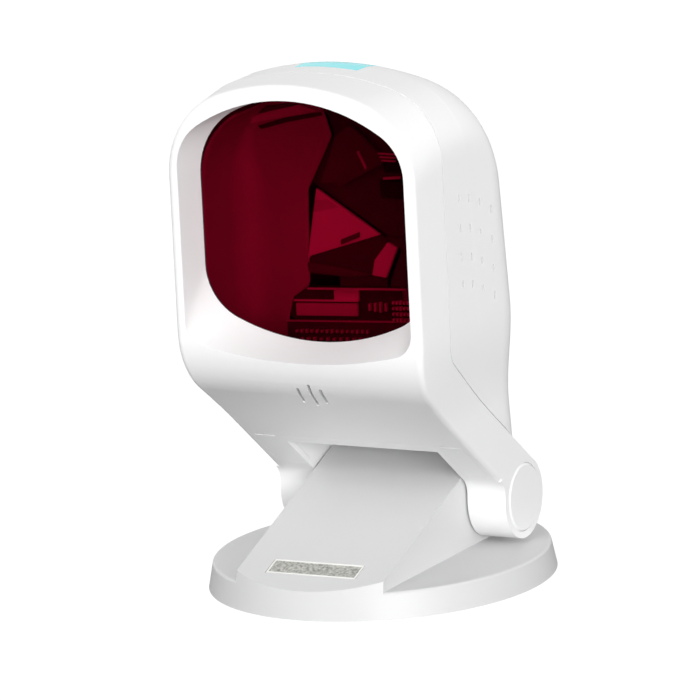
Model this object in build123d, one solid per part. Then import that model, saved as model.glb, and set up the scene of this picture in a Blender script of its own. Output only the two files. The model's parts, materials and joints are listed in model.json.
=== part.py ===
from build123d import *
import functools
import math
import os

# Presentation barcode scanner: an arched scan head on a tilting knuckle above an oval weighted foot.
#
# Millimetres. The origin is the centre of the foot's underside, where it rests on the counter.
# +Z is up, the scan window faces -Y and +X is to the right when the window is looked at.

# Foot
FOOT_BOTTOM_X = 49.5
FOOT_BOTTOM_Y = 54.4
FOOT_TOP_X = 48.0
FOOT_TOP_Y = 52.8
FOOT_LIFT = 0.4
FOOT_HEIGHT = 7.7
FOOT_EDGE = 0.8
WALL = 2.2

# Wedge that carries the pivot
WEDGE_HALF = 23.7
WEDGE_SLOPE = 19.65
WEDGE_RADIUS = 12.4
WEDGE_TIP_Y = -60.0

# Pivot
PIVOT_Y = 20.07
PIVOT_Z = 21.34
SHAFT_R = 3.0
RUNNING_FIT = 0.05
SLIP = 0.15

# Arms and knuckles of the head
ARM_ANGLE = 37.5
ARM_INNER = 24.34
ARM_OUTER = 36.65
KNUCKLE_R = 12.04
UNDERSIDE = -2.5
KNUCKLE_FILLET = 6.0
CAP_R = 9.94

# Head outline seen from the front
HEAD_HALF = 40.0
HEAD_TOP = 154.6
TOP_ARC = 87.0
TOP_CORNER = 21.4
RIM_HALF = 39.4
RIM_TOP = 154.2
RIM_ARC = 68.0
RIM_CORNER = 26.0
TAPER_TOP_Z = 82.0
TAPER_END_Z = 50.0

# Head outline seen from the side
FRONT_Y = -45.0
PARTING_Y = -28.0
CHIN_RADIUS = 20.0
PARTING_RADIUS = 9.0
BACK_Y = 19.5
BEHIND = 34.0
BACK_LEAN = 5.43
LEAN_Z = 97.0
BACK_ROUNDING = 14.0
CROWN_START_Y = -10.6
CROWN_RADIUS = 31.25
CROWN_EXTRA = 1.2
CROWN_ARC_LOSS = 0.98
CROWN_CORNER_GAIN = 0.35
RIM_FILLET = 1.6
POCKET_FRONT_Y = -9.35
CHIN_LINE_Y = -12.1
COVER_HALF = 33.9
COVER_THICK = 1.8
COVER_END_S = -20.0
CEILING = 13.4

# Window and the recess in front of it
MOUTH = dict(half=36.2, top=149.7, top_arc=54.0, top_corner=15.0,
             bottom=73.0, bottom_arc=125.0, bottom_corner=7.0)
PANE = dict(half=35.8, top=148.6, top_arc=55.0, top_corner=21.5,
            bottom=76.9, bottom_arc=63.0, bottom_corner=16.5)
PANE_Y = -32.0
PANE_THICK = 1.6
GASKET_THICK = 0.6
PANE_LAP = 1.6

# Indicator window, vents, beeper slots and cable socket
LENS_FRONT_Y = -20.0
LENS_BACK_Y = 3.0
VENT_ROWS = (118.2, 109.5, 101.1, 93.1)
VENT_COLUMNS = ((-18.5, 0.0), (-12.4, 1.2), (-6.0, 3.8), (1.0, 7.3))
SLOT_S = -69.8
SLOT_SLANT = -0.15
SOCKET_HALF = 8.0
SOCKET_Z = 56.0
SOCKET_HIGH = 13.0
SOCKET_FACE_Y = 22.0

# Badge on the wedge
BADGE_WIDTH = 28.8
BADGE_HIGH = 7.0
BADGE_Y = -41.8
BADGE_DEEP = 0.9
BADGE_SUNK = 0.25

# Scan engine
SHELF_Z = 82.4
SHELF_THICK = 1.6
PLATE_Y = 12.0
PLATE_TOP = 120.0
MOTOR_X = 19.0
MOTOR_Y = 2.0
POLYGON_SIDE = 13.0
POLYGON_HIGH = 8.0
BOARD_Z = 66.5
BOARD_THICK = 1.6
SCREW_Z = 60.0
SCREW_X = 26.0
SCREW_SEAT_Y = -5.5

# Pattern mirrors: centre, width, height, turn about Z and lean in degrees.
MIRRORS = {
    "pattern_mirror_upper_left": ((-16.0, -4.0, 133.0), 24.0, 8.0, 10.0, -30.0),
    "pattern_mirror_upper_right": ((9.0, -3.0, 126.0), 22.0, 15.0, -18.0, -28.0),
    "pattern_mirror_right": ((30.0, -8.0, 114.0), 20.0, 22.0, -62.0, 8.0),
    "pattern_mirror_centre": ((-4.5, 4.0, 101.0), 21.0, 20.0, 18.0, 24.0),
    "pattern_mirror_lower": ((31.0, 7.6, 94.0), 8.0, 12.0, -30.0, 18.0),
    "collecting_mirror": ((-27.5, -8.0, 105.5), 34.0, 46.0, 63.0, 0.0),
}

os.makedirs("parts", exist_ok=True)

along = Vector(0, math.cos(math.radians(ARM_ANGLE)), -math.sin(math.radians(ARM_ANGLE)))
across = Vector(0, math.sin(math.radians(ARM_ANGLE)), math.cos(math.radians(ARM_ANGLE)))
pivot = Vector(0, PIVOT_Y, PIVOT_Z)

# Local X of the arm plane runs along the arm towards the pivot, local Y is up and away from the underside.
arm_plane = Plane(origin=pivot, x_dir=along, z_dir=(1, 0, 0))
side_plane = Plane(origin=(0, 0, 0), x_dir=(0, 1, 0), z_dir=(1, 0, 0))
front_plane = Plane(origin=(0, 0, 0), x_dir=(1, 0, 0), z_dir=(0, -1, 0))


def save(name, shape):
    """Writes one piece of the scanner as its own file."""
    export_step(shape, f"parts/{name}.step")


def group(solids):
    """Several separate solids that make one node."""
    return Compound(children=list(solids))


def slab(x0, x1, y0, y1, z0, z1):
    """A box from its lowest to its highest corner."""
    return Pos((x0 + x1) / 2, (y0 + y1) / 2, (z0 + z1) / 2) * Box(x1 - x0, y1 - y0, z1 - z0)


def rod_x(y, z, radius, x0, x1):
    """A cylinder along X."""
    return Plane(origin=((x0 + x1) / 2, y, z), z_dir=(1, 0, 0)) * Cylinder(radius, abs(x1 - x0))


def rod_y(x, z, radius, y0, y1):
    """A cylinder along Y."""
    return Plane(origin=(x, (y0 + y1) / 2, z), z_dir=(0, 1, 0)) * Cylinder(radius, abs(y1 - y0))


def rod_z(x, y, radius, z0, z1):
    """A cylinder along Z."""
    return Pos(x, y, (z0 + z1) / 2) * Cylinder(radius, z1 - z0)


def across_width(face, x0, x1):
    """Extrudes a face drawn in the side plane from x0 to x1."""
    return Pos(x0, 0, 0) * extrude(face, amount=x1 - x0, dir=(1, 0, 0))


def through_depth(face, y0, y1):
    """Extrudes a face drawn in the front plane from y0 back to y1."""
    return Pos(0, y0, 0) * extrude(face, amount=y1 - y0, dir=(0, 1, 0))


def rounded_arch(half, top, top_arc, top_corner, bottom, bottom_arc, bottom_corner, grow=0.0):
    """An arch with a long top arc, a long bottom arc and four round corners, in the front plane."""
    half, top, bottom = half + grow, top + grow, bottom - grow
    top_arc, bottom_arc = top_arc + grow, bottom_arc + grow
    top_corner, bottom_corner = top_corner + grow, bottom_corner + grow
    top_centre = top - top_arc
    low_centre = bottom + bottom_arc
    corner_x = half - top_corner
    low_x = half - bottom_corner
    corner_z = top_centre + math.sqrt((top_arc - top_corner) ** 2 - corner_x**2)
    low_z = low_centre - math.sqrt((bottom_arc - bottom_corner) ** 2 - low_x**2)
    up = top_arc / (top_arc - top_corner)
    down = bottom_arc / (bottom_arc - bottom_corner)
    shoulder = (corner_x * up, top_centre + (corner_z - top_centre) * up)
    hip = (low_x * down, low_centre + (low_z - low_centre) * down)

    def mid(x, z, radius, reach_x, reach_z):
        """The point of a corner arc halfway between the side and its tangent point."""
        to_x, to_z = 1.0 + reach_x, reach_z
        size = math.hypot(to_x, to_z)
        return (x + radius * to_x / size, z + radius * to_z / size)

    shoulder_mid = mid(corner_x, corner_z, top_corner,
                       (shoulder[0] - corner_x) / top_corner, (shoulder[1] - corner_z) / top_corner)
    hip_mid = mid(low_x, low_z, bottom_corner,
                  (hip[0] - low_x) / bottom_corner, (hip[1] - low_z) / bottom_corner)

    def left(point):
        return (-point[0], point[1])

    edges = [
        ThreePointArc(left(shoulder), (0, top), shoulder),
        ThreePointArc(shoulder, shoulder_mid, (half, corner_z)),
        Line((half, corner_z), (half, low_z)),
        ThreePointArc((half, low_z), hip_mid, hip),
        ThreePointArc(hip, (0, bottom), left(hip)),
        ThreePointArc(left(hip), left(hip_mid), (-half, low_z)),
        Line((-half, low_z), (-half, corner_z)),
        ThreePointArc((-half, corner_z), left(shoulder_mid), left(shoulder)),
    ]
    return front_plane * make_face(edges)


def head_outline(half, low, top, arc, corner, inset):
    """The head seen from the front: arched top, upright sides and a soft taper into the arms."""
    top_centre = top - arc
    corner_x = half - corner
    corner_z = top_centre + math.sqrt((arc - corner) ** 2 - corner_x**2)
    up = (arc - inset) / (arc - corner)
    shoulder = (corner_x * up, top_centre + (corner_z - top_centre) * up)
    radius = corner - inset
    to_x = 1.0 + (shoulder[0] - corner_x) / radius
    to_z = (shoulder[1] - corner_z) / radius
    size = math.hypot(to_x, to_z)
    middle = (corner_x + radius * to_x / size, corner_z + radius * to_z / size)
    side, low = half - inset, low - inset
    floor = 4.0

    def left(point):
        return (-point[0], point[1])

    edges = [
        ThreePointArc(left(shoulder), (0, top - inset), shoulder),
        ThreePointArc(shoulder, middle, (side, corner_z)),
        Line((side, corner_z), (side, TAPER_TOP_Z)),
        Spline((side, TAPER_TOP_Z), (low, TAPER_END_Z), tangents=[(0, -1), (0, -1)]),
        Line((low, TAPER_END_Z), (low, floor)),
        Line((low, floor), (-low, floor)),
        Line((-low, floor), (-low, TAPER_END_Z)),
        Spline((-low, TAPER_END_Z), (-side, TAPER_TOP_Z), tangents=[(0, 1), (0, 1)]),
        Line((-side, TAPER_TOP_Z), (-side, corner_z)),
        ThreePointArc((-side, corner_z), left(middle), left(shoulder)),
    ]
    return make_face(edges)


def body_outline(inset):
    """The outline at the parting line."""
    return front_plane * head_outline(HEAD_HALF, ARM_OUTER, HEAD_TOP, TOP_ARC, TOP_CORNER, inset)


def rim_outline(inset):
    """The slightly smaller outline around the front ring."""
    return front_plane * head_outline(RIM_HALF, ARM_OUTER, RIM_TOP, RIM_ARC, RIM_CORNER, inset)


def underside_point(y, offset=0.0):
    """The point of the arms' underside line at depth y, lifted by offset."""
    start = pivot + across * (UNDERSIDE + offset)
    return (y, start.Z + (y - start.Y) * along.Z / along.Y)


def front_side_face(inset):
    """Side view of the head in front of and above the arms' underside, without the knuckle."""
    front = FRONT_Y + inset
    top = HEAD_TOP + 10.0
    start = pivot + across * (UNDERSIDE + inset)
    upper = pivot + across * KNUCKLE_R
    outline = Polyline(
        (front, top),
        (front, underside_point(front, inset)[1]),
        (start.Y, start.Z),
        (upper.Y, upper.Z),
        (PIVOT_Y + 30.0, PIVOT_Z + 40.0),
        (PIVOT_Y + 30.0, top),
        close=True,
    )
    face = make_face(outline)
    corner = face.vertices().sort_by(Axis.Y)[0:4].sort_by(Axis.X)[0]
    return side_plane * fillet(corner, CHIN_RADIUS - inset)


def rear_region_face(gap):
    """Side view of everything behind the parting line; gap shrinks it."""
    reach = 160.0
    base = pivot + across * (KNUCKLE_R + gap)
    edge = PARTING_Y + gap
    slope = along.Z / along.Y
    corner = (edge, base.Z + (edge - base.Y) * slope)
    outline = Polyline(
        (edge, HEAD_TOP + 20.0),
        corner,
        (edge + reach, corner[1] + reach * slope),
        (edge + reach, HEAD_TOP + 20.0),
        close=True,
    )
    face = make_face(outline)
    vertex = face.vertices().sort_by_distance((corner[0], corner[1], 0))[0]
    return side_plane * fillet(vertex, PARTING_RADIUS)


def crown_drop(y, inset):
    """How far the top has fallen at depth y behind the start of the crown."""
    radius = CROWN_RADIUS - inset
    run = max(0.0, y - CROWN_START_Y)
    return radius - math.sqrt(radius**2 - run**2)


def rear_section(y, side_drop, inset):
    """The head's outline on a plane that leans with the back, drawn in on all sides by the rounding."""
    drop = crown_drop(y, inset) + CROWN_EXTRA * side_drop
    half = HEAD_HALF - side_drop
    arc = TOP_ARC - CROWN_ARC_LOSS * drop
    corner = min(TOP_CORNER + CROWN_CORNER_GAIN * drop, half - 4.0)
    outline = head_outline(half, ARM_OUTER - side_drop, HEAD_TOP - drop, arc, corner, inset)
    lean = math.radians(BACK_LEAN)
    rise = (HEAD_TOP - LEAN_Z) * (1 / math.cos(lean) - 1)
    plane = Plane(origin=(0, y, LEAN_Z), x_dir=(1, 0, 0), z_dir=(0, -math.cos(lean), -math.sin(lean)))
    return plane * (Pos(0, rise - LEAN_Z) * outline)


@functools.lru_cache
def rear_block(inset):
    """The rear half of the head as a solid body, inset by a wall."""
    radius = BACK_ROUNDING - inset
    round_start = BACK_Y - BACK_ROUNDING
    step = (round_start - CROWN_START_Y) / 5
    sections = [rear_section(CROWN_START_Y + i * step, 0, inset) for i in range(5)]
    for degrees in (0, 15, 30, 45, 60, 75, 90):
        turn = math.radians(degrees)
        y = round_start + radius * math.sin(turn)
        sections.append(rear_section(y, radius * (1 - math.cos(turn)), inset))
    straight = extrude(sections[0], amount=40.0, dir=(0, -1, 0))
    return straight + loft(sections)


def front_block(inset):
    """The front half of the head with its chin and arms as a solid body, inset by a wall."""
    flare = loft([Pos(0, FRONT_Y, 0) * rim_outline(inset), Pos(0, PARTING_Y, 0) * body_outline(inset)])
    arch = flare + through_depth(body_outline(inset), PARTING_Y, PIVOT_Y + 20.0)
    return arch & across_width(front_side_face(inset), -60, 60)


def arm_box(x0, x1, s0, s1, n0, n1):
    """A box in the arm's own directions: s runs along the arm to the pivot, n is up from it."""
    box = Pos((s0 + s1) / 2, (n0 + n1) / 2, (x0 + x1) / 2) * Box(s1 - s0, n1 - n0, x1 - x0)
    return arm_plane * box


def mirrored_pair(shape):
    """The shape and its mirror image on the other side of the head."""
    return [shape, mirror(shape, about=Plane.YZ)]


# How far along the arm's line the pocket and the chin line lie, from the pivot (negative is forwards).
pocket_s = (POCKET_FRONT_Y - (pivot + across * UNDERSIDE).Y) / along.Y
chin_s = (CHIN_LINE_Y - (pivot + across * UNDERSIDE).Y) / along.Y


def make_stand():
    """The foot and its wedge, one moulding, open below."""

    def oval(grow, z):
        return Pos(0, 0, z) * Ellipse(FOOT_BOTTOM_X + grow, FOOT_BOTTOM_Y + grow)

    top_oval = Pos(0, 0, FOOT_LIFT + FOOT_HEIGHT) * Ellipse(FOOT_TOP_X, FOOT_TOP_Y)
    foot = loft([oval(0, FOOT_LIFT), top_oval])
    inner_top = Pos(0, 0, FOOT_LIFT + FOOT_HEIGHT - WALL) * Ellipse(FOOT_TOP_X - WALL, FOOT_TOP_Y - WALL)
    foot_hollow = loft([oval(-WALL, FOOT_LIFT - 0.01), inner_top])

    def wedge_face(inset):
        radius = WEDGE_RADIUS - inset
        slope = math.radians(WEDGE_SLOPE)
        touch = (PIVOT_Y - radius * math.sin(slope), PIVOT_Z + radius * math.cos(slope))
        tip_z = touch[1] - (touch[0] - WEDGE_TIP_Y) * math.tan(slope)
        crest = (PIVOT_Y + radius * math.sin(slope), PIVOT_Z + radius * math.cos(slope))
        floor = -12.0
        edges = [
            Line((WEDGE_TIP_Y, tip_z), touch),
            ThreePointArc(touch, crest, (PIVOT_Y + radius, PIVOT_Z)),
            Line((PIVOT_Y + radius, PIVOT_Z), (PIVOT_Y + radius, floor)),
            Line((PIVOT_Y + radius, floor), (WEDGE_TIP_Y, floor)),
            Line((WEDGE_TIP_Y, floor), (WEDGE_TIP_Y, tip_z)),
        ]
        return side_plane * make_face(edges)

    half = WEDGE_HALF
    wedge = across_width(wedge_face(0), -half, half)
    tall = 4.7
    shrink_x = (FOOT_BOTTOM_X - FOOT_TOP_X) * tall
    shrink_y = (FOOT_BOTTOM_Y - FOOT_TOP_Y) * tall

    def tall_oval(inset):
        """The foot's slanting rim carried on upwards, which trims the wedge's toe flush with it."""
        top_face = Ellipse(FOOT_BOTTOM_X - shrink_x - inset, FOOT_BOTTOM_Y - shrink_y - inset)
        return loft([oval(-inset, FOOT_LIFT), Pos(0, 0, FOOT_LIFT + FOOT_HEIGHT * tall) * top_face])

    wedge = wedge & tall_oval(0)
    hollow = across_width(wedge_face(WALL), -half + WALL, half - WALL) & tall_oval(WALL)
    rim = foot.edges().sort_by(Axis.Z)[-1]
    shell = (fillet(rim, FOOT_EDGE) + wedge) - foot_hollow - hollow

    bosses = [rod_z(x, y, 3.2, 2.6, FOOT_LIFT + FOOT_HEIGHT - 1.0) for x, y in base_screw_places()]
    shell = shell + bosses
    shell = shell - [rod_z(x, y, 1.25, 2.0, FOOT_LIFT + FOOT_HEIGHT - 2.0) for x, y in base_screw_places()]
    shell = shell - rod_x(PIVOT_Y, PIVOT_Z, 5.0 + 0.02, -half - 1, half + 1)
    return shell - badge_solid(0.12)


def base_screw_places():
    """Where the four screws hold the steel plate to the foot."""
    return [(x, y) for x in (-34.0, 34.0) for y in (-24.0, 24.0)]


def incline_plane():
    """The wedge's sloping face, with local X across and local Y up the slope."""
    slope = math.radians(WEDGE_SLOPE)
    touch_y = PIVOT_Y - WEDGE_RADIUS * math.sin(slope)
    touch_z = PIVOT_Z + WEDGE_RADIUS * math.cos(slope)
    normal = (0, -math.sin(slope), math.cos(slope))
    return Plane(origin=(0, touch_y, touch_z), x_dir=(1, 0, 0), z_dir=normal)


def badge_solid(grow):
    """The blank plate let into the sloping face; grow makes its recess."""
    plane = incline_plane()
    drop = (BADGE_Y - plane.origin.Y) / math.cos(math.radians(WEDGE_SLOPE))
    top = 1.0 if grow else -BADGE_SUNK
    high = top + BADGE_DEEP
    plate = Box(BADGE_WIDTH + 2 * grow, BADGE_HIGH + 2 * grow, high)
    return plane * (Pos(0, drop, top - high / 2) * plate)


def make_base_plate():
    """Steel plate that closes the foot."""
    plate = Pos(0, 0, 1.8) * extrude(Ellipse(FOOT_BOTTOM_X - 3.0, FOOT_BOTTOM_Y - 3.0), amount=0.8)
    holes = [rod_z(x, y, 1.6, 0, 6) for x, y in base_screw_places()]
    return plate - holes


def make_ballast():
    """Cast weight inside the foot, between the screw bosses."""
    block = Pos(0, 0, 2.6) * extrude(Ellipse(FOOT_TOP_X - 6.5, FOOT_TOP_Y - 6.5), amount=2.8)
    clear = [rod_z(x, y, 4.0, 0, 9) for x, y in base_screw_places()]
    return block - clear


def make_feet():
    """Four rubber pads under the steel plate."""
    places = [(x, y) for x in (-27.0, 27.0) for y in (-34.0, 34.0)]
    return group([chamfer(rod_z(x, y, 5.0, 0, 1.8).edges().sort_by(Axis.Z)[0], 0.4) for x, y in places])


def make_base_screws():
    """Four countersunk screws through the steel plate."""
    screws = []
    for x, y in base_screw_places():
        head = rod_z(x, y, 2.6, 0.9, 1.8)
        stem = rod_z(x, y, 1.25, 1.8, 5.4)
        slot = slab(x - 2.0, x + 2.0, y - 0.35, y + 0.35, 0.8, 1.25)
        cross = slab(x - 0.35, x + 0.35, y - 2.0, y + 2.0, 0.8, 1.25)
        screws.append(head + stem - slot - cross)
    return group(screws)


def recess_loft(grow, y0, y1):
    """The funnel from the mouth in the front face back to the window."""
    mouth = Pos(0, y0, 0) * rounded_arch(**MOUTH, grow=grow)
    pane = Pos(0, y1, 0) * rounded_arch(**PANE, grow=grow)
    return loft([mouth, pane])


def beeper_slots():
    """Three slanted slots in the chin."""
    cuts = []
    for place, length in ((-4.4, 9.2), (-0.5, 13.0), (3.0, 9.2)):
        slot = SlotOverall(length, 1.0)
        start = (SLOT_S, UNDERSIDE, place)
        plane = arm_plane * Plane(origin=start, x_dir=(1, 0, SLOT_SLANT), z_dir=(0, 1, 0))
        cuts.append(plane * (Pos(0, 0, -4) * extrude(slot, amount=9)))
    return cuts


def make_front_shell():
    """Front moulding: bezel, window recess, chin, side skirts, arms and knuckles."""
    block = front_block(0)
    rim = []
    for edge in block.edges():
        middle = edge.center()
        on_front = abs(middle.Y - FRONT_Y) < 0.01 and middle.Z > 79
        below = Vector(0, middle.Y, middle.Z) - pivot
        on_chin = middle.Y < -30 and middle.Z < 82 and abs(middle.X) > 30 and below.dot(across) < 12
        on_arm = abs(below.dot(across) - UNDERSIDE) < 0.3 and abs(middle.X) > 30
        if on_front or on_chin or on_arm:
            rim.append(edge)
    left_half = fillet(rim, RIM_FILLET) & slab(-60, 0, -60, 60, -20, 170)
    block = left_half + mirror(left_half, about=Plane.YZ)
    profile = side_plane * (Pos(PIVOT_Y, PIVOT_Z) * Circle(KNUCKLE_R))
    knuckles = across_width(profile, -ARM_OUTER, ARM_OUTER)
    root = knuckle_root()
    block = block + knuckles + root
    block = block - across_width(rear_region_face(-SLIP), -60, 60)

    hollow = front_block(WALL) - arm_box(-60, 60, pocket_s - WALL, 60, -40, 60)
    shell = block - hollow
    shell = shell - arm_box(-ARM_INNER, ARM_INNER, pocket_s, 80, -40, 60)

    channel = arm_box(ARM_INNER + WALL, COVER_HALF - 0.8, pocket_s - WALL - 2, COVER_END_S - 1.5,
                      UNDERSIDE - 1, 9.5)
    shell = shell - mirrored_pair(channel)
    shell = shell - underside_plate(0.1)

    funnel_wall = recess_loft(1.8, FRONT_Y, PANE_Y)
    flange = through_depth(rounded_arch(**PANE, grow=3.4), PANE_Y - 1.6, PANE_Y)
    shell = shell + ((funnel_wall + flange) & front_block(0.5))
    shell = shell - recess_loft(0.0, FRONT_Y - 0.01, PANE_Y + 0.01)
    shell = shell - through_depth(rounded_arch(**PANE, grow=-0.05), PANE_Y - 1.0, PANE_Y + 1.0)
    for x in (-SCREW_X, SCREW_X):
        shell = shell + (rod_y(x, SCREW_Z, 3.2, FRONT_Y, SCREW_SEAT_Y - 0.1) & front_block(0.8))
        shell = shell - rod_y(x, SCREW_Z, 1.25, SCREW_SEAT_Y - 14, SCREW_SEAT_Y + 1)
    shell = shell - beeper_slots()
    shell = shell - rod_x(PIVOT_Y, PIVOT_Z, SHAFT_R + 0.02, -60, 60)
    for side in (-1, 1):
        shell = shell - rod_x(PIVOT_Y, PIVOT_Z, CAP_R + 0.12, side * 33.4, side * 45)
        shell = shell - rod_x(PIVOT_Y, PIVOT_Z, 7.6, side * 28.0, side * 45)
    return shell


def knuckle_root():
    """Fills the inner corner where each arm's underside runs into its round knuckle."""
    reach = math.sqrt((KNUCKLE_R + KNUCKLE_FILLET) ** 2 - (KNUCKLE_FILLET - UNDERSIDE) ** 2)
    centre = (-reach, UNDERSIDE - KNUCKLE_FILLET)
    scale = KNUCKLE_R / (KNUCKLE_R + KNUCKLE_FILLET)
    touch = (centre[0] * scale, centre[1] * scale)
    wedge = make_face(Polyline((-reach, UNDERSIDE + 2), (0, UNDERSIDE + 2), touch, centre, close=True))
    face = wedge - Pos(*centre) * Circle(KNUCKLE_FILLET)
    solid = extrude(arm_plane * face, amount=2 * ARM_OUTER, dir=(1, 0, 0))
    return Pos(-ARM_OUTER, 0, 0) * solid


def underside_plate(grow):
    """The flat yoke-shaped cover under the chin and the arms; grow makes its seat."""
    half = COVER_HALF + grow
    plate = arm_box(-half, half, chin_s - grow, COVER_END_S + grow,
                    UNDERSIDE - 2 * grow, UNDERSIDE + COVER_THICK + grow)
    gap = arm_box(-ARM_INNER + grow, ARM_INNER - grow, pocket_s + grow, 40, -40, 40)
    return plate - gap


def make_rear_shell():
    """Rear moulding with its vents, screw tubes, socket opening and floor over the pivot."""
    region = across_width(rear_region_face(SLIP), -60, 60)
    block = rear_block(0) & region
    hollow = rear_block(WALL)
    inner = hollow & across_width(rear_region_face(WALL), -60, 60)
    open_front = slab(-60, 60, PARTING_Y - 9, PARTING_Y + WALL + 1, 78, 200)
    open_floor = arm_box(-33, 33, -90, pocket_s - 4, 0, 30)
    inner = inner + (hollow & open_front) + (hollow & open_floor)
    inner = inner - arm_box(-ARM_INNER - WALL, ARM_INNER + WALL, pocket_s - 4, 80, -40, CEILING + WALL)
    shell = block - inner
    shell = shell - arm_box(-ARM_INNER - 0.3, ARM_INNER + 0.3, pocket_s - 4.3, 80, -40, CEILING)

    inner_limit = rear_block(0.6)
    for x in (-SCREW_X, SCREW_X):
        shell = shell + (rod_y(x, SCREW_Z, 3.4, SCREW_SEAT_Y, BEHIND) & inner_limit)
        shell = shell - rod_y(x, SCREW_Z, 1.4, SCREW_SEAT_Y - 1, BEHIND)
        shell = shell - rod_y(x, SCREW_Z, 2.6, SCREW_SEAT_Y + 4, BEHIND)
    for x, z in chassis_screw_places():
        shell = shell + (rod_y(x, z, 3.0, PLATE_Y + 1.6, BEHIND) & inner_limit)
        shell = shell - rod_y(x, z, 1.1, PLATE_Y, PLATE_Y + 4.4)

    for y, drop in VENT_COLUMNS:
        for z in VENT_ROWS:
            for low, high in ((-60, -HEAD_HALF + 6), (HEAD_HALF - 6, 60)):
                shell = shell - slab(low, high, y - 0.5, y + 0.5, z - drop - 1.1, z - drop + 1.1)
    shell = shell - lens_prism(0.08)
    half = SOCKET_HALF + 0.1
    return shell - slab(-half, half, PLATE_Y + 2, 40, SOCKET_Z - 0.1, SOCKET_Z + SOCKET_HIGH + 0.1)


def chassis_screw_places():
    """Centres of the three screws that hold the chassis to the back wall."""
    return [(-20.0, 79.0), (22.0, 79.0), (0.0, 111.0)]


def lens_prism(grow):
    """Upright prism that cuts the indicator window out of the crown."""
    front, back = LENS_FRONT_Y - grow, LENS_BACK_Y + grow
    narrow, wide = 10.0 + grow, 11.5 + grow
    outline = Polyline((-narrow, front), (narrow, front), (wide, back), (-wide, back), close=True)
    return Pos(0, 0, 135) * extrude(make_face(outline), amount=40)


def make_lens():
    """Clear cyan window flush with the crown."""
    return (rear_block(0) - rear_block(1.6)) & lens_prism(0)


def plate_at(centre, width, high, turn, lean, thick, behind=0.0):
    """A flat plate facing -Y, turned about Z and leaned about its own X; behind moves it backwards."""
    return Pos(*centre) * Rot(0, 0, turn) * Rot(lean, 0, 0) * Pos(0, behind, 0) * Box(width, thick, high)


def make_chassis():
    """Black frame that carries the mirrors, the polygon motor and the laser."""
    plate = slab(-32, 34, PLATE_Y, PLATE_Y + 1.6, 73, PLATE_TOP) & rear_block(3.4)
    frame = plate + slab(-19, 34, -8, PLATE_Y, SHELF_Z, SHELF_Z + SHELF_THICK)
    frame = frame + slab(-19, -16, -2, 1, BOARD_Z + BOARD_THICK, SHELF_Z)
    frame = frame + slab(30, 33, -2, 1, BOARD_Z + BOARD_THICK, SHELF_Z)
    for centre, width, high, turn, lean in MIRRORS.values():
        x, y, z = centre
        carrier = plate_at(centre, width - 2, high - 2, turn, lean, 1.2, behind=1.21)
        strut_z = min(z, PLATE_TOP - 3.0)
        strut = slab(x - 1.5, x + 1.5, y + 1.6, PLATE_Y + 0.1, strut_z - 1.5, strut_z + 1.5)
        post = slab(x - 1.5, x + 1.5, y + 1.6, y + 4.6, strut_z - 1.5, z + 1.5)
        frame = frame + carrier + strut + post
    for centre, width, high, turn, lean in MIRRORS.values():
        frame = frame - plate_at(centre, width + 0.6, high + 0.6, turn, lean, 1.22)
    for x, z in chassis_screw_places():
        frame = frame - rod_y(x, z, 1.3, PLATE_Y - 0.1, PLATE_Y + 2)
        frame = frame - rod_y(x, z, 2.4, PLATE_Y - 3.0, PLATE_Y)
    frame = frame - rod_z(MOTOR_X, MOTOR_Y, 2.2, SHELF_Z - 1, SHELF_Z + 3)
    frame = frame - rod_z(MOTOR_X, MOTOR_Y, 9.8, SHELF_Z + SHELF_THICK, SHELF_Z + 22)
    # The mirror seats shave tiny corners off the struts, so only the frame itself is kept.
    return frame.solids().sort_by(SortBy.VOLUME)[-1]


def make_mirror(place):
    """One flat glass mirror with its face towards the window."""
    centre, width, high, turn, lean = place
    return plate_at(centre, width, high, turn, lean, 1.2)


def save_optics():
    """Writes the scan engine: chassis, mirrors, laser, receiver and the spinning polygon."""
    save("optical_chassis", make_chassis())
    for name, place in MIRRORS.items():
        save(name, make_mirror(place))
    shelf_top = SHELF_Z + SHELF_THICK
    stator = rod_z(MOTOR_X, MOTOR_Y, 9.0, shelf_top, shelf_top + 3.4)
    spindle = rod_z(MOTOR_X, MOTOR_Y, 1.5, SHELF_Z - 2.0, shelf_top + 17.0)
    save("polygon_motor", stator + spindle)
    hub = rod_z(MOTOR_X, MOTOR_Y, 8.2, shelf_top + 3.8, shelf_top + 6.6)
    save("motor_rotor", hub - rod_z(MOTOR_X, MOTOR_Y, 1.5 + RUNNING_FIT, 0, 200))
    side = POLYGON_SIDE
    low = shelf_top + 6.6
    block = slab(MOTOR_X - side / 2, MOTOR_X + side / 2, MOTOR_Y - side / 2, MOTOR_Y + side / 2,
                 low, low + POLYGON_HIGH)
    block = chamfer(block.edges().filter_by(Axis.Z), 1.0)
    save("polygon_mirror", block - rod_z(MOTOR_X, MOTOR_Y, 1.5 + RUNNING_FIT, 0, 200))

    laser_z = shelf_top + 4.6
    laser = rod_x(-3.6, laser_z, 3.0, -15.0, -2.5) - rod_x(-3.6, laser_z, 1.2, -4.0, 0)
    save("laser_module", laser)
    holder = slab(-13.5, -5.0, -7.8, 0.6, shelf_top, shelf_top + 8.6)
    save("laser_holder", holder - rod_x(-3.6, laser_z, 3.02, -20, 5))


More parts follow.
